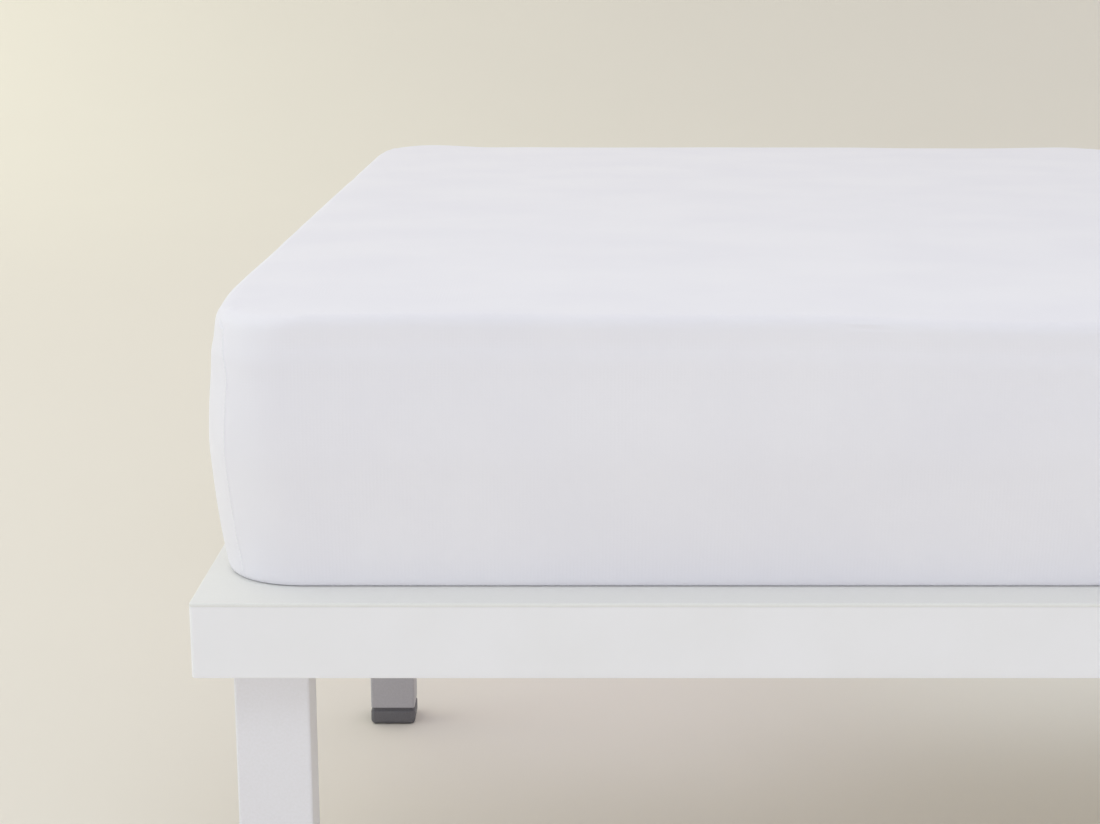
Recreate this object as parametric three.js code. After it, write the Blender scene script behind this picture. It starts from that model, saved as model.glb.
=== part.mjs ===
// A white waterproof mattress protector, fitted over a thick mattress that lies on a low white bed base.
// Millimetres, +Z up. The origin is on the floor under the middle of the bed, and the foot end faces -Y.
import * as THREE from 'three';

// Cloth, and how it lies on the mattress
const CLOTH_WIDTH = 1354; // across the widest line of the sides, over a 135 cm mattress
const CLOTH_LENGTH = 1904; // the same from foot to head, over a 190 cm mattress
const CLOTH_THICKNESS = 2;
const REST_GAP = 0.3; // between pieces that lie on each other
const CORNER_STEPS = 6; // facets round each corner in plan
const CLOTH_STEPS = { across: 8, along: 10 }; // stretches along the ends and along the sides

// The cloth's outer face, from the middle of the top, down the side and under the mattress.
// inset: in from the widest outline. rise: over the deck. corner: radius of the corners in plan.
// slack: clearance between the cloth and the mattress. full: how far the long sides stand out more.
const CLOTH_PROFILE = [
  { inset: 620, rise: 248.0, corner: 24, slack: 0.4, full: 0 },
  { inset: 430, rise: 248.0, corner: 40, slack: 0.4, full: 0 },
  { inset: 220, rise: 247.9, corner: 55, slack: 0.4, full: 0 },
  { inset: 90, rise: 247.6, corner: 66, slack: 0.4, full: 0 },
  { inset: 45, rise: 247.2, corner: 78, slack: 0.8, full: 1 },
  { inset: 22.6, rise: 246.6, corner: 84, slack: 1.6, full: 4 },
  { inset: 18, rise: 245.9, corner: 84, slack: 2.0, full: 5 },
  { inset: 14.2, rise: 243.9, corner: 83, slack: 2.0, full: 5.5 },
  { inset: 11.3, rise: 240.5, corner: 81, slack: 2.0, full: 5.5 },
  { inset: 9.1, rise: 231.2, corner: 77, slack: 1.2, full: 5.5 },
  { inset: 8, rise: 220.2, corner: 75, slack: 0.8, full: 5 },
  { inset: 4.2, rise: 189.2, corner: 78, slack: 0.4, full: 2.5 },
  { inset: 1.2, rise: 152.2, corner: 80, slack: 0.4, full: 0.6 },
  { inset: 0, rise: 122.2, corner: 82, slack: 0.4, full: 0 },
  { inset: 1.5, rise: 97.2, corner: 82, slack: 0.4, full: 0 },
  { inset: 4, rise: 65.2, corner: 82, slack: 0.4, full: 0 },
  { inset: 7.8, rise: 33.2, corner: 80, slack: 0.8, full: 0 },
  { inset: 11, rise: 14.0, corner: 77.5, slack: 0.6, full: 0 },
  { inset: 12.4, rise: 6.5, corner: 76, slack: 0.5, full: 0 },
  { inset: 13.5, rise: 3.0, corner: 75, slack: 0.5, full: 0 },
  { inset: 15.1, rise: 0.9, corner: 74, slack: 0.4, full: 0 },
  { inset: 17.9, rise: 0.3, corner: 73, slack: 0.4, full: 0 },
  { inset: 92, rise: 0.3, corner: 40, slack: 0.4, full: 0 },
];
const FULL_FROM = 40; // the long sides' fullness starts this far from their ends
const FULL_AT = 200; // and is whole from here

// The mattress's flat underside, inside the hem.
const MATTRESS_BOTTOM_ROWS = [
  { inset: 300, corner: 36, full: 0 },
  { inset: 620, corner: 24, full: 0 },
];

// Soft places along the top edge, where it has given way or stands up a little. along: the middle of the
// soft place, from the middle of that end or side. half: half its length. drop: how far the edge goes down.
const SOFT_EDGES = [
  { edge: 'foot', along: 90, half: 260, drop: 7 },
  { edge: 'foot', along: -470, half: 160, drop: -1.5 },
  { edge: 'head', along: 380, half: 220, drop: 2 },
  { edge: 'head', along: -590, half: 120, drop: -4.4 },
  { edge: 'left', along: -905, half: 150, drop: 3 },
  { edge: 'right', along: -910, half: 140, drop: 2.5 },
  { edge: 'right', along: -60, half: 360, drop: 2.5 },
  { edge: 'right', along: 920, half: 130, drop: 2 },
];
const SOFT_EDGE_REACH = 120; // how far in over the top a soft place goes
const SOFT_EDGE_FADE = 110; // how far down the side it goes

// The sewn dart down each corner stands out a little, most at this rise, and is flush half above and below.
const CORNER_SEAM = { proud: 1.5, rise: 122, half: 145 };

// Bed base
const BASE_OVER_SIDE = 4; // the base stands out past the cloth at the sides
const BASE_OVER_END = 33.5; // and at the foot and head
const BASE_CORNER = 4;
const DECK_SHEET = 3;
const DECK_SHEET_EDGE = 0.8; // rounding of its rim
const RAIL = { width: 105, height: 65.5, edge: 0.8, corner: 2 };
const CROSS_BAR_WIDTH = 60;
const SLAT = { width: 90, thickness: 18, edge: 1.5, corner: 3, perBay: 2 };

// Legs, in four rows from foot to head. inset: from the base's side to the leg. setback: from the foot
// or head end of the base to the corner legs.
const LEG_HEIGHT = 302; // foot cap included
const LEG_CORNER = 3;
const CORNER_LEG = { width: 68, depth: 50, inset: 30, setback: 38 };
const MIDDLE_LEG = { width: 54, depth: 50, inset: 92 };
const MIDDLE_ROWS_APART = 635;

// A foot cap, from its top down: inset from the cap's outline, and height over the floor.
const CAP_PROUD = 0.5; // the cap stands out from its leg
const CAP_CORNER = 6;
const CAP_PROFILE = [
  { inset: 3, rise: 22 },
  { inset: 3, rise: 18.6 },
  { inset: 1, rise: 17.8 },
  { inset: 0.2, rise: 16.8 },
  { inset: 0, rise: 15.4 },
  { inset: 0, rise: 5 },
  { inset: 1.2, rise: 2.4 },
  { inset: 4.2, rise: 0 },
];
const CAP_CORNER_STEPS = 3;
const CAP_HEIGHT = CAP_PROFILE[0].rise;

// Heights and sizes that follow
const BASE_WIDTH = CLOTH_WIDTH + 2 * BASE_OVER_SIDE;
const BASE_LENGTH = CLOTH_LENGTH + 2 * BASE_OVER_END;
const RAIL_BOTTOM = LEG_HEIGHT + REST_GAP;
const RAIL_TOP = RAIL_BOTTOM + RAIL.height;
const DECK_BOTTOM = RAIL_TOP + REST_GAP;
const DECK_TOP = DECK_BOTTOM + DECK_SHEET;
const END_ROW = BASE_LENGTH / 2 - CORNER_LEG.setback - CORNER_LEG.depth / 2;
const LEG_ROWS = [-END_ROW, -MIDDLE_ROWS_APART / 2, MIDDLE_ROWS_APART / 2, END_ROW];

const PAINT = {
  cloth: { color: 0xe4e4e8, roughness: 0.92, metalness: 0 },
  ticking: { color: 0xd9d6cf, roughness: 0.95, metalness: 0 },
  lacquer: { color: 0xe2e2e1, roughness: 0.45, metalness: 0 },
  wood: { color: 0xd2bf9c, roughness: 0.7, metalness: 0 },
  whiteSteel: { color: 0xdddddd, roughness: 0.4, metalness: 0.1 },
  greySteel: { color: 0x9a979b, roughness: 0.45, metalness: 0.1 },
  capPlastic: { color: 0x4f4e50, roughness: 0.6, metalness: 0 },
};

const bed = new THREE.Group();

function addPiece(name, geometry, paint, place) {
  const piece = new THREE.Mesh(geometry, new THREE.MeshStandardMaterial(paint));
  piece.name = name;
  piece.position.set(place.x, place.y, place.z);
  bed.add(piece);
}

// ---- Shapes ----

// The outline of a rounded rectangle, counterclockwise. steps cuts its ends and sides into stretches, so
// every outline with the same steps has the same count of points.
function roundedOutline(width, length, corner, cornerSteps, steps) {
  const x = width / 2 - corner;
  const y = length / 2 - corner;
  const centres = [
    { x, y, turn: 0, steps: steps.across },
    { x: -x, y, turn: Math.PI / 2, steps: steps.along },
    { x: -x, y: -y, turn: Math.PI, steps: steps.across },
    { x, y: -y, turn: 1.5 * Math.PI, steps: steps.along },
  ];
  const pointAt = (centre, turn) =>
    new THREE.Vector2(centre.x + corner * Math.cos(turn), centre.y + corner * Math.sin(turn));
  return centres.flatMap((centre, index) => {
    const next = centres[(index + 1) % centres.length];
    const lastTurn = centre.turn + Math.PI / 2;
    const arc = Array.from({ length: cornerSteps + 1 }, (_, step) =>
      pointAt(centre, centre.turn + (step / cornerSteps) * (Math.PI / 2)));
    const straight = Array.from({ length: centre.steps - 1 }, (_, step) =>
      pointAt(centre, lastTurn).lerp(pointAt(next, lastTurn), (step + 1) / centre.steps));
    return [...arc, ...straight];
  });
}

// A closed solid over rings of points that have the same count. The first ring and the last one are
// each closed to their middle. From the ring where a sheet turns back, its facets are cut the other way,
// so that the sheet's two faces stay parallel.
function loft(rings, turnBack = rings.length) {
  const count = rings[0].length;
  const points = rings.flat();
  const faces = [];
  for (let ring = 0; ring < rings.length - 1; ring += 1) {
    for (let here = 0; here < count; here += 1) {
      const above = ring * count + here;
      const aboveNext = ring * count + ((here + 1) % count);
      const [below, belowNext] = [above + count, aboveNext + count];
      if (ring < turnBack) {
        faces.push(above, below, belowNext, above, belowNext, aboveNext);
      } else {
        faces.push(above, below, aboveNext, below, belowNext, aboveNext);
      }
    }
  }
  [0, rings.length - 1].forEach((ring) => {
    const middle = rings[ring].reduce((sum, point) => sum.add(point), new THREE.Vector3());
    points.push(middle.divideScalar(count));
    for (let here = 0; here < count; here += 1) {
      const rim = [ring * count + here, ring * count + ((here + 1) % count)];
      faces.push(points.length - 1, ...(ring === 0 ? rim : rim.reverse()));
    }
  });
  const geometry = new THREE.BufferGeometry().setFromPoints(points);
  geometry.setIndex(faces);
  geometry.computeVertexNormals();
  return geometry;
}

// A board or bar: a rectangle with a radius for each corner, from the one at -X -Y round to -X +Y,
// and with its upper and lower edges rounded. It stands on z = 0.
function board(width, length, height, corners, edge) {
  const outline = new THREE.Shape();
  const places = [
    { x: -width / 2, y: -length / 2, inX: 1, inY: 1, turn: Math.PI },
    { x: width / 2, y: -length / 2, inX: -1, inY: 1, turn: 1.5 * Math.PI },
    { x: width / 2, y: length / 2, inX: -1, inY: -1, turn: 0 },
    { x: -width / 2, y: length / 2, inX: 1, inY: -1, turn: Math.PI / 2 },
  ];
  places.forEach((place, index) => {
    const radius = corners[index];
    const x = place.x + place.inX * radius;
    const y = place.y + place.inY * radius;
    outline.absarc(x, y, radius, place.turn, place.turn + Math.PI / 2, false);
  });
  return new THREE.ExtrudeGeometry(outline, {
    depth: height - 2 * edge,
    curveSegments: 2,
    bevelEnabled: edge > 0,
    bevelThickness: edge,
    bevelSize: edge,
    bevelOffset: -edge,
    bevelSegments: 1,
  }).translate(0, 0, edge);
}

// ---- Cloth and mattress ----

// A smooth bump, 1 in the middle and gone at a distance of 1.
function bump(distance) {
  return (1 - Math.min(Math.abs(distance), 1) ** 2) ** 2;
}

// How far the cloth has gone down at a place, through the soft stretches of the top edge.
function edgeDrop(x, y, rise) {
  const offEdge = {
    foot: { along: x, off: y + CLOTH_LENGTH / 2 },
    head: { along: x, off: CLOTH_LENGTH / 2 - y },
    left: { along: y, off: x + CLOTH_WIDTH / 2 },
    right: { along: y, off: CLOTH_WIDTH / 2 - x },
  };
  return SOFT_EDGES.reduce((sum, soft) => {
    const { along, off } = offEdge[soft.edge];
    const lengthwise = bump((along - soft.along) / soft.half);
    const inward = bump(off / SOFT_EDGE_REACH);
    const downward = bump((CLOTH_PROFILE[0].rise - rise) / SOFT_EDGE_FADE);
    return sum + soft.drop * lengthwise * inward * downward;
  }, 0);
}

// The cloth's outline at one row, fuller along its sides, with the dart's ridge on each corner's middle.
function clothOutline(row, ridge) {
  const width = CLOTH_WIDTH - 2 * row.inset;
  const length = CLOTH_LENGTH - 2 * row.inset;
  const outline = roundedOutline(width, length, row.corner, CORNER_STEPS, CLOTH_STEPS);
  outline.forEach((point) => {
    const fromEnd = CLOTH_LENGTH / 2 - Math.abs(point.y);
    point.x += Math.sign(point.x) * row.full * THREE.MathUtils.smoothstep(fromEnd, FULL_FROM, FULL_AT);
  });
  let place = CORNER_STEPS / 2;
  [CLOTH_STEPS.across, CLOTH_STEPS.along, CLOTH_STEPS.across, CLOTH_STEPS.along].forEach((steps) => {
    const point = outline[place];
    point.add(new THREE.Vector2(Math.sign(point.x), Math.sign(point.y)).setLength(ridge));
    place += CORNER_STEPS + steps;
  });
  return outline;
}

// A ring of points for one row of the profile. depthAt gives how far under the cloth's outer face it is.
function clothRing(index, depthAt) {
  const row = CLOTH_PROFILE[index];
  const before = CLOTH_PROFILE[Math.max(index - 1, 0)];
  const after = CLOTH_PROFILE[Math.min(index + 1, CLOTH_PROFILE.length - 1)];
  const way = new THREE.Vector2(before.inset - after.inset, after.rise - before.rise).normalize();
  const depth = depthAt(row);
  const inward = -way.y * depth;
  const moved = { ...row, inset: row.inset + inward, corner: row.corner - inward };
  const ridge = CORNER_SEAM.proud * bump((row.rise - CORNER_SEAM.rise) / CORNER_SEAM.half);
  const outer = clothOutline(row, ridge);
  return clothOutline(moved, ridge).map(({ x, y }, place) => {
    const drop = edgeDrop(outer[place].x, outer[place].y, row.rise);
    return new THREE.Vector3(x, y, row.rise - way.x * depth - drop);
  });
}

function addProtector() {
  const rows = CLOTH_PROFILE.map((_, index) => index);
  const outerFace = rows.map((index) => clothRing(index, () => 0));
  const innerFace = rows.map((index) => clothRing(index, () => CLOTH_THICKNESS)).reverse();
  const sheet = loft([...outerFace, ...innerFace], rows.length);
  addPiece('protector', sheet, PAINT.cloth, { x: 0, y: 0, z: DECK_TOP });
}

function addMattress() {
  const rings = CLOTH_PROFILE.map((_, index) => clothRing(index, (row) => CLOTH_THICKNESS + row.slack));
  const bottom = rings[rings.length - 1][0].z;
  MATTRESS_BOTTOM_ROWS.forEach((row) => {
    rings.push(clothOutline(row, 0).map(({ x, y }) => new THREE.Vector3(x, y, bottom)));
  });
  addPiece('mattress', loft(rings), PAINT.ticking, { x: 0, y: 0, z: DECK_TOP });
}

// ---- Bed base ----

function addFrame() {
  const deck = board(BASE_WIDTH, BASE_LENGTH, DECK_SHEET, Array(4).fill(BASE_CORNER), DECK_SHEET_EDGE);
  addPiece('deck_sheet', deck, PAINT.lacquer, { x: 0, y: 0, z: DECK_BOTTOM });

  const endY = BASE_LENGTH / 2 - RAIL.width / 2;
  const ends = [
    { name: 'rail_foot', y: -endY, corners: [BASE_CORNER, BASE_CORNER, RAIL.corner, RAIL.corner] },
    { name: 'rail_head', y: endY, corners: [RAIL.corner, RAIL.corner, BASE_CORNER, BASE_CORNER] },
  ];
  ends.forEach(({ name, y, corners }) => {
    const rail = board(BASE_WIDTH, RAIL.width, RAIL.height, corners, RAIL.edge);
    addPiece(name, rail, PAINT.lacquer, { x: 0, y, z: RAIL_BOTTOM });
  });

  const sideLength = BASE_LENGTH - 2 * (RAIL.width + REST_GAP);
  const sideX = BASE_WIDTH / 2 - RAIL.width / 2;
  const squareEnds = Array(4).fill(RAIL.corner);
  [{ name: 'rail_left', x: -sideX }, { name: 'rail_right', x: sideX }].forEach(({ name, x }) => {
    const rail = board(RAIL.width, sideLength, RAIL.height, squareEnds, RAIL.edge);
    addPiece(name, rail, PAINT.lacquer, { x, y: 0, z: RAIL_BOTTOM });
  });

  const innerWidth = BASE_WIDTH - 2 * (RAIL.width + REST_GAP);
  LEG_ROWS.slice(1, -1).forEach((y, row) => {
    const bar = board(innerWidth, CROSS_BAR_WIDTH, RAIL.height, squareEnds, RAIL.edge);
    addPiece(`cross_bar_${row + 1}`, bar, PAINT.wood, { x: 0, y, z: RAIL_BOTTOM });
  });

  const slatCorners = Array(4).fill(SLAT.corner);
  for (let bay = 0; bay < LEG_ROWS.length - 1; bay += 1) {
    for (let slat = 1; slat <= SLAT.perBay; slat += 1) {
      const part = slat / (SLAT.perBay + 1);
      const y = THREE.MathUtils.lerp(LEG_ROWS[bay], LEG_ROWS[bay + 1], part);
      const piece = board(innerWidth, SLAT.width, SLAT.thickness, slatCorners, SLAT.edge);
      const name = `slat_${bay * SLAT.perBay + slat}`;
      addPiece(name, piece, PAINT.wood, { x: 0, y, z: RAIL_TOP - SLAT.thickness });
    }
  }
}

function footCap(leg) {
  const width = leg.width + 2 * CAP_PROUD;
  const depth = leg.depth + 2 * CAP_PROUD;
  const rings = CAP_PROFILE.map(({ inset, rise }) => {
    const steps = { across: 1, along: 1 };
    const outline = roundedOutline(
      width - 2 * inset, depth - 2 * inset, CAP_CORNER - inset, CAP_CORNER_STEPS, steps,
    );
    return outline.map(({ x, y }) => new THREE.Vector3(x, y, rise));
  });
  return loft(rings);
}

function addLegs() {
  const tubeHeight = LEG_HEIGHT - CAP_HEIGHT - REST_GAP;
  const sides = [{ side: 'left', sign: -1 }, { side: 'right', sign: 1 }];
  LEG_ROWS.forEach((y, row) => {
    const atCorner = row === 0 || row === LEG_ROWS.length - 1;
    const leg = atCorner ? CORNER_LEG : MIDDLE_LEG;
    const paint = atCorner ? PAINT.whiteSteel : PAINT.greySteel;
    sides.forEach(({ side, sign }) => {
      const x = sign * (BASE_WIDTH / 2 - leg.inset - leg.width / 2);
      const tube = board(leg.width, leg.depth, tubeHeight, Array(4).fill(LEG_CORNER), 0);
      addPiece(`leg_${side}_${row + 1}`, tube, paint, { x, y, z: CAP_HEIGHT + REST_GAP });
      addPiece(`foot_cap_${side}_${row + 1}`, footCap(leg), PAINT.capPlastic, { x, y, z: 0 });
    });
  });
}

addProtector();
addMattress();
addFrame();
addLegs();

export default bed;
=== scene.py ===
# A white waterproof mattress protector, stretched over a thick mattress on a low white bed base.
# Metres, +Z up. The foot end faces -Y, and the origin is on the floor under the middle of the bed.
import math

import bmesh
import bpy
import numpy as np
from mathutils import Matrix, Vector, noise


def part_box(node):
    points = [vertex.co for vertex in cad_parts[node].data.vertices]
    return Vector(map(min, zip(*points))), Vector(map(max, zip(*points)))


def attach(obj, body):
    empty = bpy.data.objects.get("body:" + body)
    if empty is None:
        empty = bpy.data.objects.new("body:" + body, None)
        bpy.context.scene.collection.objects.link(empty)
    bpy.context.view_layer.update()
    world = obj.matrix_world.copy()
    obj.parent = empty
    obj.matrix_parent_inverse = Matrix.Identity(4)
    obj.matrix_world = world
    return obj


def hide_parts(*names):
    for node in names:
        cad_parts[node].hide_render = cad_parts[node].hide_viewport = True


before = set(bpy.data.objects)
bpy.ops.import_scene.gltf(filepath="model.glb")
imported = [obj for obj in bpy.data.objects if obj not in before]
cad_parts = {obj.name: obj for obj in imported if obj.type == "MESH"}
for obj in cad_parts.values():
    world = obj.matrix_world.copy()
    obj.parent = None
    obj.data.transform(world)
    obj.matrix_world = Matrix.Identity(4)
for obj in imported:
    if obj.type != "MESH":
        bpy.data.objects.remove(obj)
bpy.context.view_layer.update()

MM = 0.001
QUARTER = math.pi / 2  # of a turn

# ---- Sizes ----

DECK_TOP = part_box("deck_sheet")[1].z
CLOTH_WIDTH = 1.354  # across the widest line of the sides, over a 135 cm mattress
CLOTH_LENGTH = 1.904  # the same from foot to head, over a 190 cm mattress
HALF_LONGER = (CLOTH_LENGTH - CLOTH_WIDTH) / 2  # the ends are this much farther out than the sides
CLOTH_THICKNESS = 2 * MM
MATTRESS_UNDER_CLOTH = 4.6 * MM  # from the cloth's outer face

# The cloth's outer face in section, from the middle of the top, down the side and under the mattress.
# Millimetres: inset from the widest outline, rise over the deck, radius of the corners in plan, and how
# far the long sides stand out more.
CLOTH_PROFILE = (
    (677, 248, 0, 0),
    (620, 248, 24, 0),
    (430, 248, 40, 0),
    (220, 247.9, 55, 0),
    (90, 247.6, 66, 0),
    (45, 247.2, 78, 1),
    (30, 246.9, 82, 2.5),
    (22.6, 246.6, 84, 4),
    (18, 245.9, 84, 5),
    (14.2, 243.9, 83, 5.5),
    (11.3, 240.5, 81, 5.5),
    (9.8, 236.4, 79, 5.5),
    (9.1, 231.2, 77, 5.5),
    (8, 220.2, 75, 5),
    (5.4, 207.2, 76, 4),
    (4.2, 189.2, 78, 2.5),
    (1.2, 152.2, 80, 0.6),
    (0, 122.2, 82, 0),
    (1.5, 97.2, 82, 0),
    (4, 65.2, 82, 0),
    (7.8, 33.2, 80, 0),
    (11, 14, 77.5, 0),
    (12.4, 6.5, 76, 0),
    (13.5, 3, 75, 0),
    (15.1, 0.9, 74, 0),
    (17.9, 0.3, 73, 0),
    (92, 0.3, 40, 0),
)
FULL_FROM = 40 * MM  # the long sides' fullness starts this far from their ends
FULL_AT = 200 * MM  # and is whole from here

# How close the rows of the cloth's mesh lie down the section. Millimetres: up to this length from the
# middle of the top, this step.
NET_ROWS = (
    (480, 80),
    (590, 22),
    (640, 8),
    (657, 1.7),
    (684, 0.9),
    (722, 4.5),
    (850, 9),
    (888, 5),
    (916, 1.6),
    (985, 7),
)
# The mesh's columns: round half a corner, where they crowd towards the dart, and along each panel
HALF_CORNER_STEPS = 24
CROWDING = 1.8
PANEL_STEPS = {"head": 64, "left": 80, "foot": 96, "right": 80}
MATTRESS_EVERY = 3  # the mattress has a third of the cloth's rows, and of the columns along each panel

# Soft places along the top edge, where it has given way or stands up a little. Millimetres: along is the
# middle of the soft place, from the middle of its edge, half is half its length, and drop is how far the
# edge goes down there.
SOFT_EDGES = (
    {"edge": "foot", "along": 90, "half": 260, "drop": 7},
    {"edge": "foot", "along": -470, "half": 160, "drop": -1.5},
    {"edge": "head", "along": 380, "half": 220, "drop": 2},
    {"edge": "head", "along": -590, "half": 120, "drop": -4.4},
    {"edge": "left", "along": -905, "half": 150, "drop": 3},
    {"edge": "right", "along": -910, "half": 140, "drop": 2.5},
    {"edge": "right", "along": -60, "half": 360, "drop": 2.5},
    {"edge": "right", "along": 920, "half": 130, "drop": 2},
)
SOFT_EDGE_REACH = 120 * MM  # how far in over the top a soft place goes
SOFT_EDGE_FADE = 110 * MM  # how far down the side it goes

# The sheet's flat cut: where the top goes over into the sides, down the section, and how far the squares
# that are cut out of its corners reach in over the top
TOP_GOES_OVER = (560 * MM, 640 * MM)

# Where each corner's dart starts and ends, down the section, and how far its upper end leans towards the
# long side, from one rise to another
DART_START = 671 * MM
DART_END = 905 * MM
DART_LEAN = math.radians(10.5)
DART_LEAN_RISE = (187 * MM, 233 * MM)

# The dart's stitches, the first of them this far below its start. Their shape: share of the length, and
# lift and thickness in half threads.
STITCH = {"pitch": 3.6 * MM, "length": 2.7 * MM, "thread": 0.6 * MM}
STITCHES_BELOW_START = 2 * MM
STITCH_SHAPE = (
    (0, -0.6, 0.5),
    (0.2, 0.0, 0.9),
    (0.5, 0.3, 1),
    (0.8, 0.0, 0.9),
    (1, -0.6, 0.5),
)
THREAD_SIDES = 6

# Round each dart, with heights in millimetres: the tent of cloth that stands out down the corner, the
# sewn seam with a groove on each side, and the ripples that the sewing leaves. half is how far from its
# middle a form has sunk to a third.
TENT = {"height": 1.5, "half": 13 * MM, "rise": 122 * MM, "reach": 145 * MM}
SEAM = {"height": 0.55, "half": 1.2 * MM, "grows_over": 5 * MM}
GROOVE = {"depth": 0.12, "from_dart": 3.4 * MM, "half": 1.6 * MM}
RIPPLES = {"height": 0.45, "size": 15 * MM, "half": 15 * MM}

# The fold pinched beside the dart's start, on the long sides' panels. It begins a little below the start,
# climbs one in so many as it leaves the dart, and grows and fades between these distances from it. Across
# it, in millimetres: place, height and half width of its two lips and of the groove between them.
FOLD_BELOW_START = 4.6 * MM
FOLD_CLIMBS_ONE_IN = 3
FOLD_GROWS = (1.5 * MM, 4 * MM)
FOLD_FADES = (10 * MM, 15 * MM)
FOLD_LIPS = (
    (2.9, 0.9, 1.7),
    (-2.7, 0.5, 1.7),
    (0, -1.6, 1.1),
)

# The small pucker over each dart's start: how far from the dart, and how far up from its start
PUCKER = {"height": 0.9, "half_across": 6 * MM, "half_down": 7 * MM}
PUCKER_ON_SIDE = {"from_dart": 12 * MM, "up": 14 * MM}
PUCKER_ON_END = {"from_dart": 17 * MM, "up": 24 * MM}

# The cloth's unevenness, with heights in millimetres: along the top edge, in its wide slack places, and
# in the gathers round the lower corners
WAVER = {"height": 0.55, "size": 95 * MM, "row": 660 * MM, "half": 26 * MM}
SWAY = {"height": 0.2, "size": 330 * MM, "grows": (300 * MM, 700 * MM)}
GATHERS = {"height": 0.55, "size": 16 * MM, "half": 75 * MM, "grow": (864 * MM, 898 * MM)}
GATHERS_STRETCH = (1, 1, 0.25)  # they run down the cloth

# Where the forms fade, down the section, so that the cloth lies flat on the deck
UNEVENNESS_FADES = (897 * MM, 910 * MM)
GATHERS_FADE = (902 * MM, 910 * MM)
DART_FADES = (900 * MM, 911 * MM)

# The hem is turned in on itself: how much thicker it is, and where it thickens and thins again
HEM_THICKER = 1.4 * MM
HEM_GROWS = (962 * MM, 967 * MM)
HEM_ENDS = (984 * MM, 986 * MM)

# Short creases just under the top edge, where the cloth is a little slack. Each is a ridge with a trough
# under it, given in shares of the ridge's half width and height. Millimetres: along is the crease's
# middle, from the middle of its edge, half is half its length, and rise is over the deck.
CREASE_HALF_WIDTH = 1.6 * MM
CREASE_TROUGH = {"below": 2.2, "depth": 0.8}
EDGE_CREASES = (
    {"edge": "foot", "along": -91, "half": 36, "rise": 240.4, "height": 0.55},
    {"edge": "foot", "along": 262, "half": 48, "rise": 238.7, "height": 0.6},
    {"edge": "left", "along": -330, "half": 55, "rise": 240.2, "height": 0.6},
    {"edge": "left", "along": 420, "half": 40, "rise": 239.2, "height": 0.5},
    {"edge": "right", "along": 150, "half": 60, "rise": 239.7, "height": 0.6},
    {"edge": "head", "along": 210, "half": 50, "rise": 239.2, "height": 0.6},
)

# Bed base
BASE_CORNER = 4 * MM
RAIL_INNER_CORNER = 2 * MM
RAIL_EDGE = 0.8 * MM
PINE_CORNER = 3 * MM
PINE_EDGE = 1.5 * MM
# The deck's rim, from the rail up. Millimetres: inset, and depth under the deck's top.
DECK_RIM = (
    (0.45, 3.3),
    (0.45, 3.06),
    (0.12, 3),
    (0, 2.9),
    (0, 1.6),
    (0.1, 1.05),
    (0.4, 0.48),
    (0.9, 0.12),
    (1.5, 0),
)
LEG_CORNER = 3 * MM
CAP_CORNER = 6 * MM
# A foot cap, from its top down, with a groove all round under the leg. Millimetres: inset from its
# outline, and height over the floor.
CAP_PROFILE = (
    (3.2, 22.3),
    (3.0, 22.1),
    (3.0, 18.8),
    (2.6, 18.3),
    (1.4, 17.9),
    (0.6, 17.4),
    (0.2, 16.7),
    (0, 15.6),
    (0, 5.2),
    (0.3, 3.9),
    (1.1, 2.4),
    (2.4, 1.0),
    (4.2, 0),
)

# Steps round a corner of the base's pieces, and over a rounded edge, and the least angle of a crisp edge
CORNER_STEPS = 8
EDGE_STEPS = 4
CRISP_ANGLE = math.radians(32)
FLAT_FACE_WEIGHT = 90  # how far the large faces decide the shading at an edge, of 100

# Points that lie closer than this are joined
JOINED_WITHIN = 0.001 * MM

# The camera: its lens, its place, its height over the deck, and its turn up from straight down
CAMERA_LENS = 61.17
CAMERA_PLACE = (-0.366, -2.538)
CAMERA_OVER_DECK = 0.5142
CAMERA_PITCH = math.radians(90 - 12.47)

# The light: how bright the sky is, which way it gets brighter, and the softboxes, each with its name,
# place, what it faces, size, power and colour
SKY_COLOUR = "#FEFDFF"
SKY_POWER = 0.79
SKY_LEAN = (0.032, 0.179, -0.023)
SOFTBOXES = (
    ("side_left", (-5.0, -0.6, 1.6), (-0.7, -0.6, 0.5), (3.0, 2.4), 39.2, "#EEFDFF"),
    ("front_fill", (0.4, -6.0, 1.3), (0, 0, 0.3), (6.0, 1.4), 26.9, "#DBE5FF"),
    ("floor_front", (0.3, -3.3, 3.2), (0.3, -3.3, 0), (5.0, 1.6), 24.3, "#EDFAFF"),
    ("under_bed_left", (-0.32, 0.0, 0.29), (-0.32, 0.0, 0), (0.6, 1.1), 1.14, "#E5E6FF"),
    ("under_bed_right", (0.34, 0.12, 0.29), (0.34, 0.12, 0), (0.6, 1.0), 1.28, "#E4EFFF"),
    ("cove_left", (-5.5, 5.5, 4.6), (-4.5, 9.0, 0.4), (4.0, 3.0), 100, "#FBFFE2"),
    ("floor_left", (-3.8, 1.4, 4.2), (-2.0, 1.4, 0), (2.4, 4.0), 30.2, "#FFF6D3"),
)

# ---- Shapes ----

CORNER_SIGNS = ((1, 1), (-1, 1), (-1, -1), (1, -1))


def smoothstep(at, start, end):
    """0 up to the start, 1 from the end, and smooth between them."""
    share = np.clip((at - start) / (end - start), 0, 1)
    return share * share * (3 - 2 * share)


def bump(distance):
    """1 in the middle, and gone at a distance of 1."""
    return (1 - np.minimum(np.abs(distance), 1) ** 2) ** 2


def swell(distance):
    """A soft bell: 1 in the middle, a third at a distance of 1."""
    return np.exp(-(distance**2))


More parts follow.
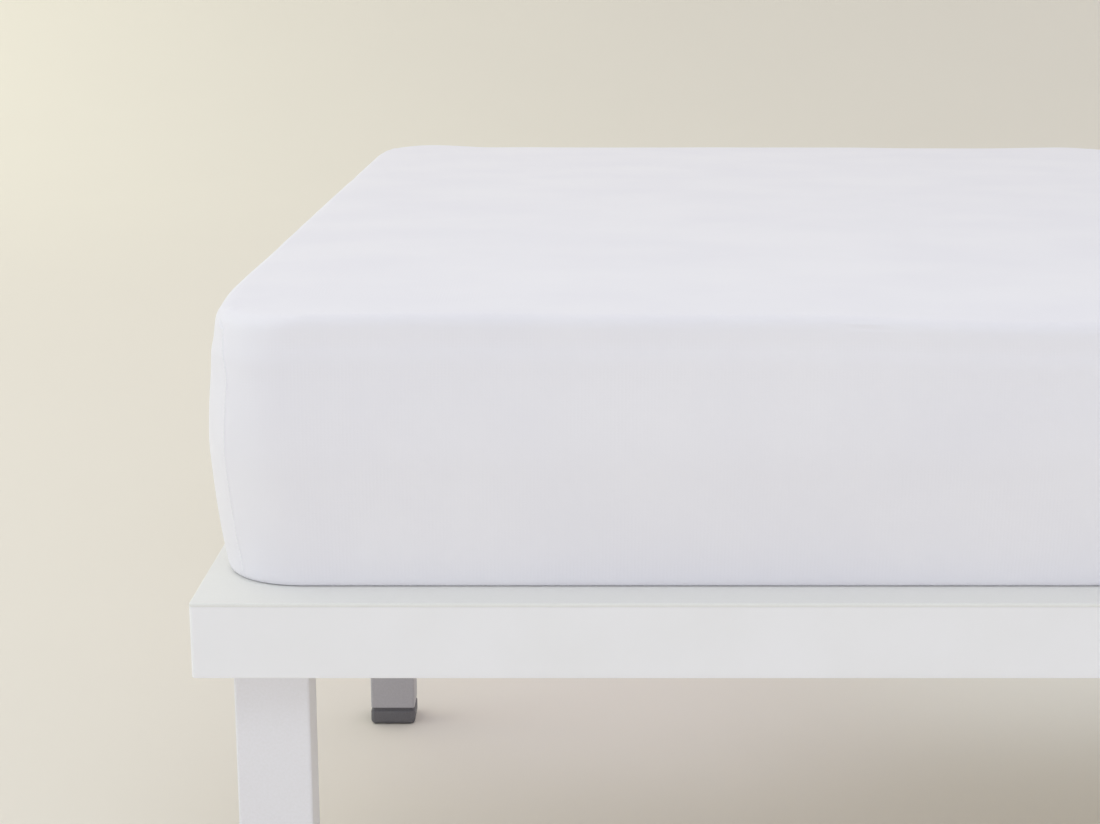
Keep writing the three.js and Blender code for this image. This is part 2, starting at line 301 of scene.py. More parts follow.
def through(at, knots, values):
    """A smooth curve through the values, which never goes past them."""
    steps = np.diff(values) / np.diff(knots)
    before, after = steps[:-1], steps[1:]
    level = before * after <= 0
    total = np.where(level, 1, before + after)
    slopes = np.r_[steps[0], np.where(level, 0, 2 * before * after / total), steps[-1]]
    left = np.clip(np.searchsorted(knots, at, side="right") - 1, 0, len(knots) - 2)
    width = knots[left + 1] - knots[left]
    share = (at - knots[left]) / width
    rest = 1 - share
    ends = rest**2 * (1 + 2 * share) * values[left] + share**2 * (3 - 2 * share) * values[left + 1]
    return ends + share * rest * width * (rest * slopes[left] - share * slopes[left + 1])


def unevenness(points, size):
    """Smooth random waves of about that size, from -1 to 1, the same at the same place."""
    flat = points.reshape(-1, 3) / size
    return np.array([noise.noise(Vector(point)) for point in flat]).reshape(points.shape[:-1])


def new_object(name, data):
    """An object in the scene, for a mesh, a light or a camera."""
    made = bpy.data.objects.new(name, data)
    bpy.context.scene.collection.objects.link(made)
    return made


def net_object(name, nets, maps=None):
    """One mesh from nets of points, joined where they meet. maps gives each net's points a place in UV."""
    mesh = bpy.data.meshes.new(name)
    work = bmesh.new()
    layer = work.loops.layers.uv.new("flat_cut")
    for index, net in enumerate(nets):
        rows, across = net.shape[:2]
        dots = [work.verts.new(point) for point in net.reshape(-1, 3)]
        for row in range(rows - 1):
            for column in range(across - 1):
                here = row * across + column
                ring = (here, here + across, here + across + 1, here + 1)
                face = work.faces.new([dots[dot] for dot in ring])
                face.smooth = True
                if maps is not None:
                    flat = maps[index].reshape(-1, 2)
                    for loop, dot in zip(face.loops, ring):
                        loop[layer].uv = flat[dot]
    bmesh.ops.remove_doubles(work, verts=work.verts, dist=JOINED_WITHIN)
    bmesh.ops.recalc_face_normals(work, faces=work.faces)
    work.to_mesh(mesh)
    work.free()
    return new_object(name, mesh)


def rounded_ring(centre, size, corners, height):
    """A rounded rectangle of points, with a radius for each corner from +X +Y round to +X -Y."""
    ring = []
    for index, (x, y) in enumerate(CORNER_SIGNS):
        radius = corners[index]
        for turn in np.linspace(index * QUARTER, (index + 1) * QUARTER, CORNER_STEPS + 1):
            ring.append((
                centre[0] + x * (size[0] / 2 - radius) + radius * math.cos(turn),
                centre[1] + y * (size[1] / 2 - radius) + radius * math.sin(turn),
                height,
            ))
    return ring


def solid_object(name, stacks, crisp=True):
    """Closed solids, each over rings of points. Crisp ones keep flat faces between their rounded edges."""
    mesh = bpy.data.meshes.new(name)
    work = bmesh.new()
    for rings in stacks:
        dots = [[work.verts.new(point) for point in ring] for ring in rings]
        for low, high in zip(dots, dots[1:]):
            for here in range(len(low)):
                there = (here + 1) % len(low)
                work.faces.new((low[here], low[there], high[there], high[here]))
        work.faces.new(dots[0][::-1])
        work.faces.new(dots[-1])
    for face in work.faces:
        face.smooth = True
    work.to_mesh(mesh)
    work.free()
    made = new_object(name, mesh)
    if crisp:
        mesh.set_sharp_from_angle(angle=CRISP_ANGLE)
        faces = made.modifiers.new("crisp_faces", "WEIGHTED_NORMAL")
        faces.weight = FLAT_FACE_WEIGHT
        faces.keep_sharp = True
    return made


def stacked_rings(low, high, corners, profile):
    """Rings inside a box's outline, one for each row of the profile: inset, and height in metres."""
    centre = (low + high) / 2
    size = high - low
    rings = []
    for inset, height in profile:
        tight = [corner - inset for corner in corners]
        rings.append(rounded_ring(centre, (size.x - 2 * inset, size.y - 2 * inset), tight, height))
    return rings


def edge_turns(radius):
    """The turns over a rounded edge, from the flat face to the side. A sharp edge has only the last."""
    return np.linspace(0, QUARTER, EDGE_STEPS + 1) if radius > 0 else np.array([QUARTER])


def board(name, low, high, corners, lower_edge, upper_edge):
    """A board with rounded corners, and with rounded lower and upper edges."""
    lower = (low.z, lower_edge, 1, edge_turns(lower_edge))
    upper = (high.z, upper_edge, -1, edge_turns(upper_edge)[::-1])
    profile = []
    for face, radius, way, turns in (lower, upper):
        for turn in turns:
            profile.append((radius * (1 - math.sin(turn)), face + way * radius * (1 - math.cos(turn))))
    return solid_object(name, [stacked_rings(low, high, corners, profile)])


# ---- Finishes ----


def linear(colour):
    """A colour as the shaders take it, from its sRGB hex value."""
    parts = [int(colour[at : at + 2], 16) / 255 for at in (1, 3, 5)]
    parts = [part / 12.92 if part <= 0.04045 else ((part + 0.055) / 1.055) ** 2.4 for part in parts]
    return (*parts, 1)


def add(tree, kind, settings=None, **sockets):
    """Adds a node with its settings. Each socket, given by name or as at_0, at_1, takes a value or a link."""
    made = tree.nodes.new("ShaderNode" + kind)
    for name, value in (settings or {}).items():
        setattr(made, name, value)
    for name, value in sockets.items():
        socket = made.inputs[int(name[3:]) if name.startswith("at_") else name.replace("_", " ")]
        if isinstance(value, bpy.types.NodeSocket):
            tree.links.new(value, socket)
        else:
            socket.default_value = value
    return made


def new_material(name, **values):
    """A material with its surface shader, whose own sockets hold the values."""
    made = bpy.data.materials.new(name)
    made.use_nodes = True
    shader = made.node_tree.nodes["Principled BSDF"]
    for socket, value in values.items():
        shader.inputs[socket.replace("_", " ")].default_value = value
    return made, made.node_tree, shader


def fine_knit_polyester():
    """White polyester jersey, knitted in fine ribs over a waterproof film: matt, with a faint bloom."""
    made, tree, shader = new_material(
        "white_polyester_jersey", Roughness=0.88, IOR=1.5, Sheen_Weight=0.1, Sheen_Roughness=0.45
    )
    flat = add(tree, "TexCoord").outputs["UV"]
    split = add(tree, "SeparateXYZ", Vector=flat)
    # The real ribs are 0.6 mm apart. They are drawn 3.2 mm apart, and the loops down them 2.6 mm, so that
    # they show at all. Each loop leans over from its rib and stands a third as high.
    rib = 3.2 * MM
    course = 2.6 * MM
    loop_lean = 2.2
    loop_height = 0.35
    across = add(tree, "Math", {"operation": "MULTIPLY"}, at_0=split.outputs["X"], at_1=math.pi / rib)
    wave = add(tree, "Math", {"operation": "SINE"}, at_0=across.outputs[0])
    ribs = add(tree, "Math", {"operation": "ABSOLUTE"}, at_0=wave.outputs[0])
    down = add(tree, "Math", {"operation": "MULTIPLY"}, at_0=split.outputs["Y"], at_1=2 * math.pi / course)
    times_plus = {"operation": "MULTIPLY_ADD"}
    lean = add(tree, "Math", times_plus, at_0=ribs.outputs[0], at_1=loop_lean, at_2=down.outputs[0])
    loops = add(tree, "Math", {"operation": "SINE"}, at_0=lean.outputs[0])
    knit = add(tree, "Math", times_plus, at_0=loops.outputs[0], at_1=loop_height, at_2=ribs.outputs[0])
    place = add(tree, "TexCoord").outputs["Object"]
    slack = add(tree, "TexNoise", Vector=place, Scale=1 / (38 * MM), Detail=2.0, Roughness=0.4)
    soft = add(tree, "Bump", at_0=1.0, Distance=0.05 * MM, Height=slack.outputs[0])
    grain = add(tree, "Bump", at_0=1.0, Distance=0.022 * MM, Height=knit.outputs[0], Normal=soft.outputs[0])
    tree.links.new(grain.outputs[0], shader.inputs["Normal"])
    cloud = add(tree, "TexNoise", Vector=place, Scale=1 / (160 * MM), Detail=3.0)
    tone = add(tree, "ValToRGB", Fac=cloud.outputs[0])
    tone.color_ramp.elements[0].position = 0.35
    tone.color_ramp.elements[0].color = linear("#ECEBF1")
    tone.color_ramp.elements[1].position = 0.65
    tone.color_ramp.elements[1].color = linear("#EFEEF3")
    tree.links.new(tone.outputs[0], shader.inputs["Base Color"])
    return made


def spun_thread():
    """White spun polyester sewing thread: a shade brighter than the jersey, with a soft gloss."""
    made, tree, shader = new_material("white_polyester_thread", Roughness=0.6, IOR=1.5, Sheen_Weight=0.1)
    place = add(tree, "TexCoord").outputs["Object"]
    ply = add(tree, "TexNoise", Vector=place, Scale=1 / (0.8 * MM), Detail=2.0)
    tone = add(tree, "ValToRGB", Fac=ply.outputs[0])
    tone.color_ramp.elements[0].color = linear("#F0F0F2")
    tone.color_ramp.elements[1].color = linear("#F8F8FA")
    tree.links.new(tone.outputs[0], shader.inputs["Base Color"])
    twist = add(tree, "Bump", at_0=0.6, Distance=0.1 * MM, Height=ply.outputs[0])
    tree.links.new(twist.outputs[0], shader.inputs["Normal"])
    return made


def woven_ticking():
    """Cream woven ticking, quilted in waves: soft hollows along its stitched lines."""
    made, tree, shader = new_material("quilted_ticking", Roughness=0.9, IOR=1.5, Sheen_Weight=0.1)
    place = add(tree, "TexCoord").outputs["Object"]
    waves = add(
        tree, "TexWave", {"bands_direction": "DIAGONAL"}, Vector=place, Scale=1 / (110 * MM), Distortion=2.0
    )
    thread = add(tree, "TexNoise", Vector=place, Scale=1 / (2 * MM), Detail=2.0)
    tone = add(tree, "ValToRGB", Fac=thread.outputs[0])
    tone.color_ramp.elements[0].color = linear("#DDD8CC")
    tone.color_ramp.elements[1].color = linear("#EBE7DD")
    tree.links.new(tone.outputs[0], shader.inputs["Base Color"])
    quilt = add(tree, "Bump", at_0=1.0, Distance=3 * MM, Height=waves.outputs["Fac"])
    tree.links.new(quilt.outputs[0], shader.inputs["Normal"])
    return made


def satin_lacquer():
    """White satin lacquer, sprayed on board: an even white, with the faint peel of a sprayed coat."""
    made, tree, shader = new_material("white_satin_lacquer", Roughness=0.52, IOR=1.5)
    place = add(tree, "TexCoord").outputs["Object"]
    peel = add(tree, "TexNoise", Vector=place, Scale=1 / (4 * MM), Detail=2.0, Roughness=0.5)
    flow = add(tree, "TexNoise", Vector=place, Scale=1 / (90 * MM), Detail=3.0)
    tone = add(tree, "ValToRGB", Fac=flow.outputs[0])
    tone.color_ramp.elements[0].position = 0.3
    tone.color_ramp.elements[0].color = linear("#F0F0F2")
    tone.color_ramp.elements[1].position = 0.7
    tone.color_ramp.elements[1].color = linear("#F3F3F6")
    tree.links.new(tone.outputs[0], shader.inputs["Base Color"])
    gloss = add(tree, "MapRange", at_0=flow.outputs[0], at_1=0.3, at_2=0.7, at_3=0.5, at_4=0.58)
    tree.links.new(gloss.outputs[0], shader.inputs["Roughness"])
    coat = add(tree, "Bump", at_0=0.5, Distance=0.05 * MM, Height=peel.outputs[0])
    tree.links.new(coat.outputs[0], shader.inputs["Normal"])
    return made


def melamine_laminate():
    """White melamine laminate on the deck: warmer than the lacquer, and darker as painted shade from the
    mattress over it, with a fine matt grain.
    """
    made, tree, shader = new_material("white_melamine_laminate", Roughness=0.6, IOR=1.5)
    place = add(tree, "TexCoord").outputs["Object"]
    # The real grain is 0.4 mm across. It is drawn 2 mm across, so that it shows.
    pits = add(tree, "TexNoise", Vector=place, Scale=1 / (2 * MM), Detail=2.0, Roughness=0.5)
    tone = add(tree, "ValToRGB", Fac=pits.outputs[0])
    # Both colours are darkened a little as painted shade, for the shade that the mattress casts on the deck.
    tone.color_ramp.elements[0].position = 0.3
    tone.color_ramp.elements[0].color = linear("#EAEAE7")
    tone.color_ramp.elements[1].position = 0.7
    tone.color_ramp.elements[1].color = linear("#ECECE9")
    tree.links.new(tone.outputs[0], shader.inputs["Base Color"])
    grain = add(tree, "Bump", at_0=0.5, Distance=0.02 * MM, Height=pits.outputs[0])
    tree.links.new(grain.outputs[0], shader.inputs["Normal"])
    return made


def powder_coat(name, dark, light):
    """Powder coat on steel tube: an even colour with a fine orange peel. It is white for the corner legs, and
    a darker grey for the middle legs that is painted shade.
    """
    made, tree, shader = new_material(name, Roughness=0.45, IOR=1.5)
    place = add(tree, "TexCoord").outputs["Object"]
    # The real peel is about 1 mm across. It is drawn 2.5 mm across, so that it shows.
    peel = add(tree, "TexNoise", Vector=place, Scale=1 / (2.5 * MM), Detail=1.0)
    tone = add(tree, "ValToRGB", Fac=peel.outputs[0])
    tone.color_ramp.elements[0].position = 0.3
    tone.color_ramp.elements[0].color = linear(dark)
    tone.color_ramp.elements[1].position = 0.7
    tone.color_ramp.elements[1].color = linear(light)
    tree.links.new(tone.outputs[0], shader.inputs["Base Color"])
    coat = add(tree, "Bump", at_0=0.6, Distance=0.1 * MM, Height=peel.outputs[0])
    tree.links.new(coat.outputs[0], shader.inputs["Normal"])
    return made


def moulded_polypropylene():
    """Dark grey polypropylene, moulded with a fine sparked grain: matt."""
    made, tree, shader = new_material("grey_moulded_polypropylene", Roughness=0.55, IOR=1.49)
    place = add(tree, "TexCoord").outputs["Object"]
    # The real grain is 0.3 mm. It is drawn at 1.2 mm, so that it shows.
    spark = add(tree, "TexNoise", Vector=place, Scale=1 / (1.2 * MM), Detail=2.0)
    tone = add(tree, "ValToRGB", Fac=spark.outputs[0])
    tone.color_ramp.elements[0].color = linear("#5A595D")
    tone.color_ramp.elements[1].color = linear("#737276")
    tree.links.new(tone.outputs[0], shader.inputs["Base Color"])
    grain = add(tree, "Bump", at_0=0.7, Distance=0.12 * MM, Height=spark.outputs[0])
    tree.links.new(grain.outputs[0], shader.inputs["Normal"])
    return made


def planed_pine():
    """Bare planed pine: pale yellow wood with darker late-wood lines along its length."""
    made, tree, shader = new_material("planed_pine", Roughness=0.65, IOR=1.5)
    place = add(tree, "TexCoord").outputs["Object"]
    along = add(tree, "Mapping", Vector=place, Scale=(0.06, 1, 1))
    rings = add(
        tree, "TexWave", {"bands_direction": "Y"}, Vector=along.outputs[0], Scale=1 / (26 * MM),
        Distortion=5.0, Detail=2.0, Detail_Scale=0.6,
    )
    tone = add(tree, "ValToRGB", Fac=rings.outputs["Fac"])
    tone.color_ramp.elements[0].color = linear("#D9C39A")
    tone.color_ramp.elements[1].color = linear("#E6D6B4")
    tree.links.new(tone.outputs[0], shader.inputs["Base Color"])
    fibre = add(tree, "Bump", at_0=0.4, Distance=0.2 * MM, Height=rings.outputs["Fac"])
    tree.links.new(fibre.outputs[0], shader.inputs["Normal"])
    return made


def painted_cove():
    """Mineral paint on the studio's cove: a warm off-white floor that fades to cooler white up the wall."""
    made, tree, shader = new_material("warm_mineral_paint", Roughness=0.9, IOR=1.45)
    place = add(tree, "TexCoord").outputs["Object"]
    cloud = add(tree, "TexNoise", Vector=place, Scale=1.2, Detail=3.0)
    warm = add(tree, "ValToRGB", Fac=cloud.outputs[0])
    warm.color_ramp.elements[0].color = linear("#E8E3D8")
    warm.color_ramp.elements[1].color = linear("#EAE5DA")
    # The floor's colour fades to the wall's between these heights, in metres.
    height = add(tree, "SeparateXYZ", Vector=place).outputs["Z"]
    up = add(tree, "MapRange", {"interpolation_type": "SMOOTHSTEP"}, at_0=height, at_1=1.0, at_2=2.6)
    cool = linear("#F2F4F8")
    tone = add(tree, "Mix", {"data_type": "RGBA"}, at_0=up.outputs[0], at_6=warm.outputs[0], at_7=cool)
    tree.links.new(tone.outputs[2], shader.inputs["Base Color"])
    return made


# ---- The protector ----


def cloth_section():
    """The section's rows: length from the middle of the top, inset, rise, corner radius and fullness."""
    table = np.array(CLOTH_PROFILE) * MM
    runs = np.hypot(np.diff(table[:, 0]), np.diff(table[:, 1]))
    knots = np.r_[0, np.cumsum(runs)]
    rows = [0.0]
    for length, step in NET_ROWS:
        end = length * MM
        count = round((end - rows[-1]) / (step * MM))
        rows.extend(np.linspace(rows[-1], end, count + 1)[1:])
    rows[-1] = knots[-1]
    rows = np.array(rows)
    columns = [through(rows, knots, table[:, column]) for column in range(4)]
    return rows, *columns


def dart_lean(rise):
    """How far each row's dart has turned from the corner's middle towards the bed's long side."""
    return DART_LEAN * smoothstep(rise, *DART_LEAN_RISE)


def panel_columns(index, steps, rise):
    """The uprights of one panel's net, from dart to dart: place between the corners, and facing by row."""
    start = np.array(CORNER_SIGNS[index])
    end = np.array(CORNER_SIGNS[(index + 1) % 4])
    squeeze = np.linspace(0, 1, HALF_CORNER_STEPS + 1) ** CROWDING
    inner = np.linspace(0, 1, steps + 1)[1:-1]
    facing = np.r_[(squeeze - 1) * QUARTER / 2, np.zeros(len(inner)), (1 - squeeze[::-1]) * QUARTER / 2]
    # The darts lean towards the long sides, which are the panels with odd numbers.
    way = 1 if index % 2 else -1
    lean = np.r_[way * (1 - squeeze), np.zeros(len(inner)), -way * (1 - squeeze[::-1])]
    facing = (index + 1) * QUARTER + facing + lean * dart_lean(rise)[:, None]
    share = np.r_[np.zeros(len(squeeze)), inner, np.ones(len(squeeze))]
    places = start + (end - start) * share[:, None]
    return places, facing


def cloth_points(section, places, facing, depth):
    """Points depth under the plain outer face, for each row and upright."""
    rows, inset, rise, corner, full = section
    way_in = np.gradient(inset)
    way_down = np.gradient(rise)
    size = np.hypot(way_in, way_down)
    outward = -way_down / size
    upward = -way_in / size
    inset = inset + outward * depth
    corner = corner - outward * depth
    rise = rise - upward * depth
    half = np.array((CLOTH_WIDTH, CLOTH_LENGTH)) / 2
    arm = np.maximum(half[None, None, :] - inset[:, None, None] - corner[:, None, None], 0)
    round_part = np.maximum(corner, 0)[:, None, None]
    towards = np.stack([np.cos(facing), np.sin(facing)], axis=-1)
    plan = places[None] * arm + towards * round_part
    share = smoothstep(half[1] - np.abs(plan[..., 1]), FULL_FROM, FULL_AT)
    plan[..., 0] += np.sign(plan[..., 0]) * full[:, None] * share
    height = np.broadcast_to(rise[:, None, None], plan.shape[:2] + (1,))
    points = np.concatenate([plan, height], axis=-1)
    normals = np.concatenate([
        towards * outward[:, None, None],
        np.broadcast_to(upward[:, None, None], plan.shape[:2] + (1,)),
    ], axis=-1)
    return points, normals


def edge_drop(points):
    """How far the soft stretches of the top edge have gone down."""
    x, y, rise = points[..., 0], points[..., 1], points[..., 2]
    off_edge = {
        "foot": (x, y + CLOTH_LENGTH / 2),
        "head": (x, CLOTH_LENGTH / 2 - y),
        "left": (y, x + CLOTH_WIDTH / 2),
        "right": (y, CLOTH_WIDTH / 2 - x),
    }
    top = CLOTH_PROFILE[0][1] * MM
    total = np.zeros(x.shape)
    for soft in SOFT_EDGES:
        along, off = off_edge[soft["edge"]]
        lengthwise = bump((along - soft["along"] * MM) / (soft["half"] * MM))
        inward = bump(off / SOFT_EDGE_REACH)
        downward = bump((top - rise) / SOFT_EDGE_FADE)
        total += soft["drop"] * MM * lengthwise * inward * downward
    return total


def arc_from_dart(points):
    """Each point's distance along its row from the middle of the panel, and from the nearer dart."""
    steps = np.linalg.norm(np.diff(points[..., :2], axis=1), axis=-1)
    arc = np.concatenate([np.zeros((len(points), 1)), np.cumsum(steps, axis=1)], axis=1)
    half = arc[:, -1:] / 2
    return arc - half, np.minimum(arc, 2 * half - arc)


def seam_relief(rows, from_dart, rise, points):
    """The dart sewn down the corner, with its tent, grooves and ripples, in millimetres."""
    started = smoothstep(rows, DART_START, DART_START + SEAM["grows_over"])
    tent = TENT["height"] * swell(from_dart / TENT["half"]) * bump((rise - TENT["rise"]) / TENT["reach"])
    groove = GROOVE["depth"] * swell((from_dart - GROOVE["from_dart"]) / GROOVE["half"])
    seam = SEAM["height"] * swell(from_dart / SEAM["half"]) - groove
    ripples = RIPPLES["height"] * unevenness(points, RIPPLES["size"]) * swell(from_dart / RIPPLES["half"])
    return tent + started * (seam + ripples)


def fold_relief(rows, from_dart):
    """The fold pinched beside the dart's start, which runs up towards the top edge, in millimetres."""
    fold_row = DART_START + FOLD_BELOW_START - from_dart / FOLD_CLIMBS_ONE_IN
    down = (rows - fold_row) / MM
    reach = smoothstep(from_dart, *FOLD_GROWS) - smoothstep(from_dart, *FOLD_FADES)
    return sum(height * swell((down - at) / half) for at, height, half in FOLD_LIPS) * reach


def pucker_relief(place, rows, from_dart):
    """The small pucker in the slack cloth over the dart's start, in millimetres."""
    half_across = PUCKER["half_across"]
    across = swell((from_dart - place["from_dart"]) / half_across) * smoothstep(from_dart, 0, half_across)
    down = swell((rows - (DART_START - place["up"])) / PUCKER["half_down"])
    return PUCKER["height"] * (across * down)


def dart_relief(name, rows, from_dart, rise, points):
    """All that stands out round a dart, in metres."""
    on_side = name in ("left", "right")
    fold = fold_relief(rows, from_dart) if on_side else 0
    pucker = pucker_relief(PUCKER_ON_SIDE if on_side else PUCKER_ON_END, rows, from_dart)
    return (seam_relief(rows, from_dart, rise, points) + fold + pucker) * MM


def crease_relief(name, along, rise):
    """Short fine creases that run just under the top edge, in metres."""
    total = np.zeros(along.shape)
    for crease in EDGE_CREASES:
        if crease["edge"] != name:
            continue
        across = (rise - crease["rise"] * MM) / CREASE_HALF_WIDTH
        lengthwise = bump((along - crease["along"] * MM) / (crease["half"] * MM))
        ridge = swell(across) - CREASE_TROUGH["depth"] * swell(across + CREASE_TROUGH["below"])
        total += crease["height"] * MM * lengthwise * ridge
    return total


def cloth_relief(name, section, points):
    """How far the outer face stands out from its plain form, in metres."""
    rows = section[0][:, None] * np.ones(points.shape[:2])
    rise = points[..., 2]
    along, from_dart = arc_from_dart(points)
    top_edge = swell((rows - WAVER["row"]) / WAVER["half"])
    waver = WAVER["height"] * unevenness(points, WAVER["size"]) * top_edge * MM
    slack = smoothstep(rows, *SWAY["grows"])
    sway = SWAY["height"] * unevenness(points, SWAY["size"]) * slack * MM
    lowered = smoothstep(rows, *GATHERS["grow"])
    under = 1 - smoothstep(rows, *GATHERS_FADE)
    near_corner = swell(from_dart / GATHERS["half"])
    wrinkles = unevenness(points * GATHERS_STRETCH, GATHERS["size"])
    gathers = GATHERS["height"] * wrinkles * near_corner * lowered * under * MM
    clear_of_deck = 1 - smoothstep(rows, *UNEVENNESS_FADES)
    dart = dart_relief(name, rows, from_dart, rise, points) * (1 - smoothstep(rows, *DART_FADES))
    return (waver + sway + gathers) * clear_of_deck + dart + crease_relief(name, along, rise)


def flat_cut(index, section, points):
    """Where each point lay in the cloth's flat cut, in metres from its middle."""
    rows = section[0][:, None]
    along, _ = arc_from_dart(points)
    turn = (index + 1) * QUARTER
    reach = rows + (HALF_LONGER if index % 2 == 0 else 0)
    outward = np.array((math.cos(turn), math.sin(turn)))
    tangent = np.array((-math.sin(turn), math.cos(turn)))
    folded = reach[..., None] * outward + along[..., None] * tangent
    over_edge = smoothstep(rows, *TOP_GOES_OVER)[..., None]
    return points[..., :2] * (1 - over_edge) + folded * over_edge


def build_protector(jersey):
    """The cloth: one closed thin sheet, with its darts, soft top edges and elastic hem."""
    section = cloth_section()
    nets, maps, darts = [], [], {}
    for index, (name, steps) in enumerate(PANEL_STEPS.items()):
        places, facing = panel_columns(index, steps, section[2])
        plain, normals = cloth_points(section, places, facing, 0)
        outer = plain + normals * cloth_relief(name, section, plain)[..., None]
        outer[..., 2] -= edge_drop(plain)
        outer[..., 2] += DECK_TOP
        hem = smoothstep(section[0], *HEM_GROWS) * (1 - smoothstep(section[0], *HEM_ENDS))
        depth = CLOTH_THICKNESS + HEM_THICKER * hem
        inner, _ = cloth_points(section, places, facing, depth)
        inner[..., 2] -= edge_drop(plain)
        inner[..., 2] += DECK_TOP
        flat = flat_cut(index, section, plain)
        # The inner face is out of sight, so it keeps every other row, from the hem back to the middle.
        kept = list(range(len(section[0]) - 1, 0, -2)) + [0]
        nets.append(np.concatenate([outer, inner[kept]]))
        maps.append(np.concatenate([flat, flat[kept]]))
        sewn = (section[0] > DART_START + STITCHES_BELOW_START) & (section[0] < DART_END)
        darts[name] = outer[sewn, 0], normals[sewn, 0]
    cloth = net_object("protector_cloth", nets, maps)
    cloth.data.materials.append(jersey)
    return cloth, section, darts


def at_length(length, along, line):
    """The point of a line, or the way out from it, at that length along it."""
    return Vector([np.interp(length, along, line[:, axis]) for axis in range(3)])


def build_stitches(darts, thread):
    """The sewing down each dart: short stitches that dip into the cloth at both ends."""
    pieces = []
    corners = {"head": "head_right", "left": "head_left", "foot": "foot_left", "right": "foot_right"}
    turns = np.linspace(0, 4 * QUARTER, THREAD_SIDES + 1)[:-1]
    for name, (path, outward) in darts.items():
        steps = np.linalg.norm(np.diff(path, axis=0), axis=1)
        along = np.r_[0, np.cumsum(steps)]
        stacks = []
        for start in np.arange(STITCH["pitch"], along[-1] - STITCH["pitch"], STITCH["pitch"]):
            rings = []
            for part, lift, thick in STITCH_SHAPE:
                at = start + part * STITCH["length"]
                centre = at_length(at, along, path)
                up = at_length(at, along, outward)
                side = (at_length(at + MM, along, path) - centre).cross(up).normalized()
                radius = thick * STITCH["thread"] / 2
                middle = centre + up * lift * STITCH["thread"] / 2
                rings.append([
                    middle + (side * math.cos(turn) + up * math.sin(turn)) * radius for turn in turns
                ])
            stacks.append(rings)
        piece = solid_object("dart_stitches_" + corners[name], stacks, crisp=False)
        piece.data.materials.append(thread)
        pieces.append(piece)
    return pieces


def build_mattress(ticking):
    """The mattress under the cloth, with its crowned ticking, flat where it lies on the deck."""
    section = cloth_section()
    nets = []
    for index, steps in enumerate(PANEL_STEPS.values()):
        places, facing = panel_columns(index, steps // MATTRESS_EVERY, section[2])
        inner, _ = cloth_points(section, places, facing, MATTRESS_UNDER_CLOTH)
        inner[..., 2] -= edge_drop(inner)
        inner[..., 2] += DECK_TOP
        last = inner[-1:]
        middle = last.copy()
        middle[..., 0] = 0
        middle[..., 1] = np.clip(middle[..., 1], -HALF_LONGER, HALF_LONGER)
        nets.append(np.concatenate([inner[::MATTRESS_EVERY], last, middle]))
    mattress = net_object("mattress_ticking", nets)
    mattress.data.materials.append(ticking)
    return mattress


# ---- Bed base ----


def build_base(lacquer, laminate, pine):
    """The base's boards, each with the node that it replaces and its slot."""
    pieces = []
    inner = RAIL_INNER_CORNER
    corners = {
        "rail_foot": (inner, inner, BASE_CORNER, BASE_CORNER),
        "rail_head": (BASE_CORNER, BASE_CORNER, inner, inner),
        "rail_left": (inner,) * 4,
        "rail_right": (inner,) * 4,
    }
    for name, radii in corners.items():
        low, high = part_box(name)
        piece = board(name + "_board", low, high, radii, RAIL_EDGE, 0)
        piece.data.materials.append(lacquer)
        pieces.append((piece, name, "base_lacquer"))
    deck = build_deck(*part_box("deck_sheet"))
    deck.data.materials.append(laminate)
    pieces.append((deck, "deck_sheet", "base_lacquer"))
    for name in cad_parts:
        if name.startswith(("slat_", "cross_bar_")):
            low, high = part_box(name)
            piece = board(name + "_pine", low, high, (PINE_CORNER,) * 4, PINE_EDGE, PINE_EDGE)
            piece.data.materials.append(pine)
            pieces.append((piece, name, "bare_wood"))
    return pieces


def build_deck(low, high):
    """The deck board, which closes on the rails with a fine joint all round."""
    profile = [(inset * MM, high.z - under * MM) for inset, under in DECK_RIM]
    return solid_object("deck_laminate", [stacked_rings(low, high, (BASE_CORNER,) * 4, profile)])


def build_legs(white, grey, plastic):
    """The legs and their foot caps, each with the node that it replaces and its slot."""
    pieces = []
    under_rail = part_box("rail_foot")[0].z
    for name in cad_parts:
        low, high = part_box(name)
        if name.startswith("leg_"):
            at_corner = name.endswith(("_1", "_4"))
            high.z = under_rail  # the tube closes on the board that it carries
            piece = board(name + "_tube", low, high, (LEG_CORNER,) * 4, 0, 0)
            # The middle legs take the darker coat, which is painted shade for the shade under the bed.
            piece.data.materials.append(white if at_corner else grey)
            pieces.append((piece, name, "white_leg" if at_corner else "grey_leg"))
        elif name.startswith("foot_cap_"):
            profile = [(inset * MM, height * MM) for inset, height in reversed(CAP_PROFILE)]
            rings = stacked_rings(low, high, (CAP_CORNER,) * 4, profile)
            piece = solid_object(name + "_moulding", [rings])
            piece.data.materials.append(plastic)
            pieces.append((piece, name, "foot_cap"))
    return pieces


# ---- Studio ----


def build_backdrop():
    """A round floor that sweeps up into a low wall, open over the top."""
    floor_radius = 4.0
    wall_radius = 12.0
    wall_top = 5.0
    sweep_steps = 32
    round_steps = 96
    section = [(0.0, 0.0), (floor_radius / 2, 0.0)]
    for share in np.linspace(0, 1, sweep_steps + 1):
        section.append((floor_radius + share * (wall_radius - floor_radius), wall_top * share**3))
    turns = np.linspace(0, 4 * QUARTER, round_steps + 1)
    net = np.array([[(r * math.cos(turn), r * math.sin(turn), z) for turn in turns] for r, z in section])
    backdrop = net_object("studio_backdrop", [net])
    backdrop.data.materials.append(painted_cove())


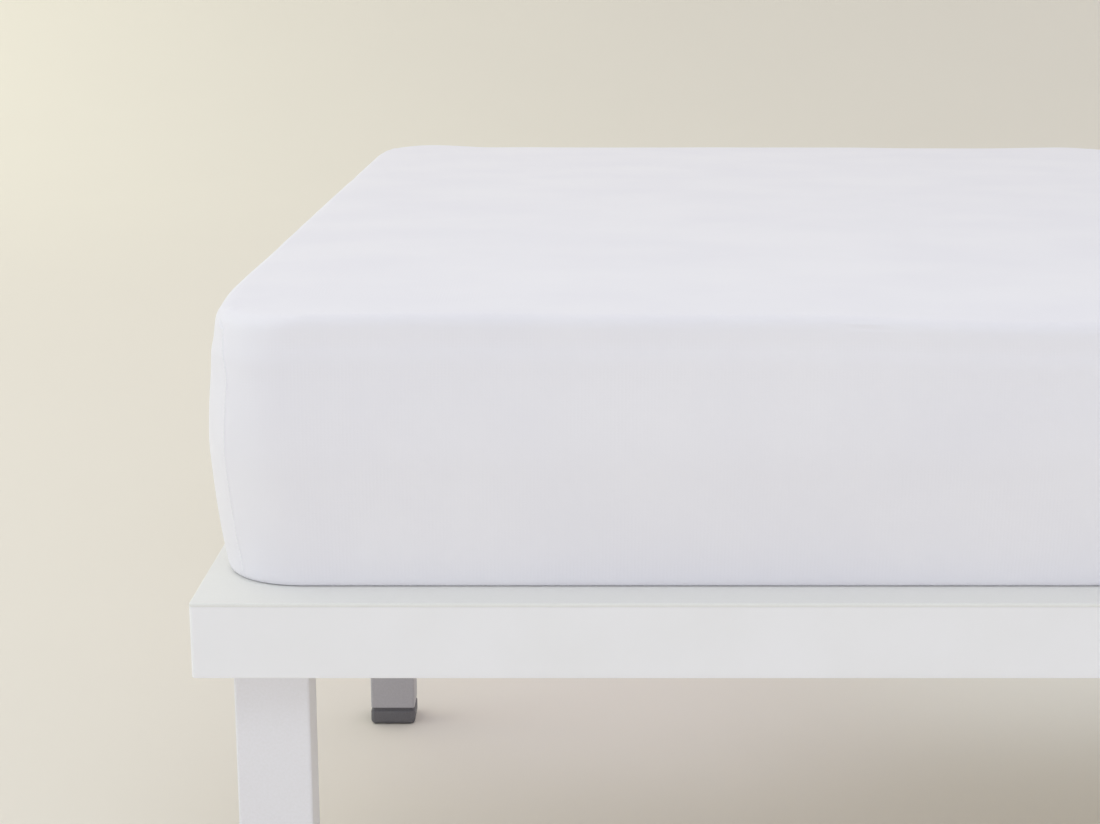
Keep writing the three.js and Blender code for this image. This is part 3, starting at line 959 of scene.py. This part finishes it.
def softbox(name, place, aim, size, power, colour):
    """A softbox that faces its aim, and that the camera doesn't see."""
    light = bpy.data.lights.new(name, "AREA")
    light.shape = "RECTANGLE"
    light.size, light.size_y = size
    light.energy = power
    light.color = linear(colour)[:3]
    made = new_object(name, light)
    made.location = place
    made.rotation_euler = (Vector(aim) - Vector(place)).to_track_quat("-Z", "Y").to_euler()
    made.visible_camera = False


def soft_sky():
    """The studio's diffusing ceiling: a sky that is brighter towards the back."""
    world = bpy.data.worlds.new("soft_sky")
    world.use_nodes = True
    tree = world.node_tree
    way = add(tree, "TexCoord").outputs["Generated"]
    lean = add(tree, "VectorMath", {"operation": "DOT_PRODUCT"}, at_0=way, at_1=SKY_LEAN)
    power = add(tree, "Math", {"operation": "ADD"}, at_0=lean.outputs["Value"], at_1=SKY_POWER)
    tree.nodes["Background"].inputs["Color"].default_value = linear(SKY_COLOUR)
    tree.links.new(power.outputs[0], tree.nodes["Background"].inputs["Strength"])
    return world


def build_studio():
    """The light, the backdrop and the camera."""
    scene = bpy.context.scene
    scene.view_settings.view_transform = "Standard"
    scene.world = soft_sky()
    build_backdrop()
    for light in SOFTBOXES:
        softbox(*light)
    camera = bpy.data.cameras.new("camera")
    camera.lens = CAMERA_LENS
    made = new_object("camera", camera)
    made.location = (*CAMERA_PLACE, DECK_TOP + CAMERA_OVER_DECK)
    made.rotation_euler = (CAMERA_PITCH, 0, 0)
    scene.camera = made


# ---- Assembly ----

jersey = fine_knit_polyester()
cloth, section, darts = build_protector(jersey)
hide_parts("protector")
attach(cloth, "root")

stitches = build_stitches(darts, spun_thread())
for piece in stitches:
    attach(piece, "root")

mattress = build_mattress(woven_ticking())
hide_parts("mattress")
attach(mattress, "root")

pieces = build_base(satin_lacquer(), melamine_laminate(), planed_pine())
white = powder_coat("white_powder_coat", "#E9E8EC", "#ECEBF0")
# The middle legs' grey is painted shade: a darker copy of the white coat, standing in for the shade under the
# bed.
grey = powder_coat("grey_powder_coat", "#AEACB1", "#B4B2B7")
pieces += build_legs(white, grey, moulded_polypropylene())
for piece, node, slot in pieces:
    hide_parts(node)
    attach(piece, "root")

build_studio()
